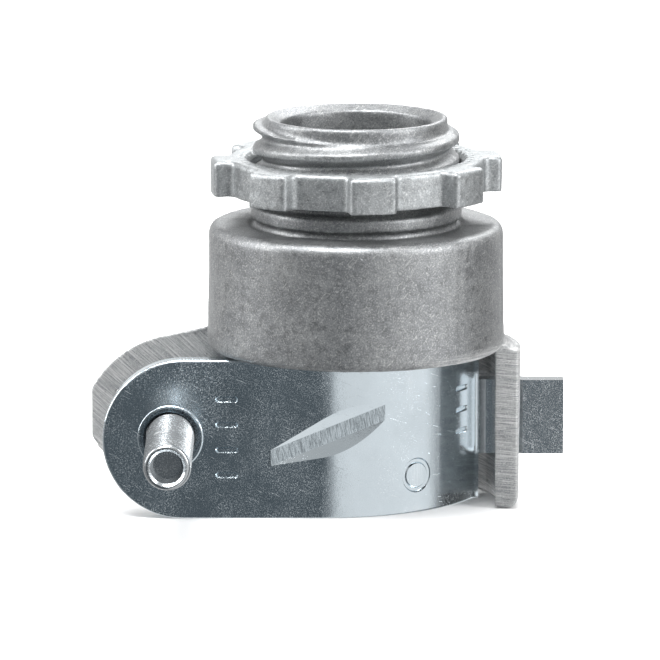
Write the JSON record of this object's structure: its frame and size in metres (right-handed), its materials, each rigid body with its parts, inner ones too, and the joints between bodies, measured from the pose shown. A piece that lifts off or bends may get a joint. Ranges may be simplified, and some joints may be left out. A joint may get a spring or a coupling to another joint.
{
  "type": "conduit squeeze connector",
  "caption": "Straight squeeze connector for flexible metal conduit: cast body with threaded hub, toothed locknut, and hooked strap drawn in by one long screw.",
  "frame": {"origin": "on the hub axis, in the plane of the collar's top shoulder that meets the box wall", "axes": "+Z along the hub axis out of its mouth, -Y to the side that the strap closes, +X to the side of the slotted wall that the strap hooks into"},
  "size_m": [0.0482, 0.0406, 0.0402],
  "materials": {
    "cast_zinc": "as-cast zinc alloy, matte mottled grey with fine grain",
    "cast_zinc_locknut": "as-cast zinc alloy, matte grey with worn edges",
    "plated_strap": "bright clear zinc plate, bluish and speckled with fine scratches",
    "plated_screw": "bright clear zinc plate"
  },
  "bodies": {
    "fitting_body": {"connector_body": "cast_zinc"},
    "locknut": {"locknut": "cast_zinc_locknut"},
    "strap": {"clamp_strap": "plated_strap"},
    "screw": {"clamp_screw": "plated_screw"}
  },
  "joints": [
    {"name": "locknut_spin", "type": "hinge", "parent": "fitting_body", "child": "locknut", "pos_m": [0, 0, 0.005], "axis": [0, 0, 1], "continuous": true},
    {"name": "strap_swing", "type": "hinge", "parent": "fitting_body", "child": "strap", "pos_m": [0.01555, 0.00685, -0.0208], "axis": [0, 0, 1], "range_deg": [-12, 22]},
    {"name": "screw_travel", "type": "slide", "parent": "strap", "child": "screw", "axis": [-0.1736, 0.9848, 0], "range_m": [-0.00765, 0.014]}
  ],
  "couplings": [
    {"joint": "screw_travel", "follows": "strap_swing", "m_per_rad": 0.0364}
  ]
}
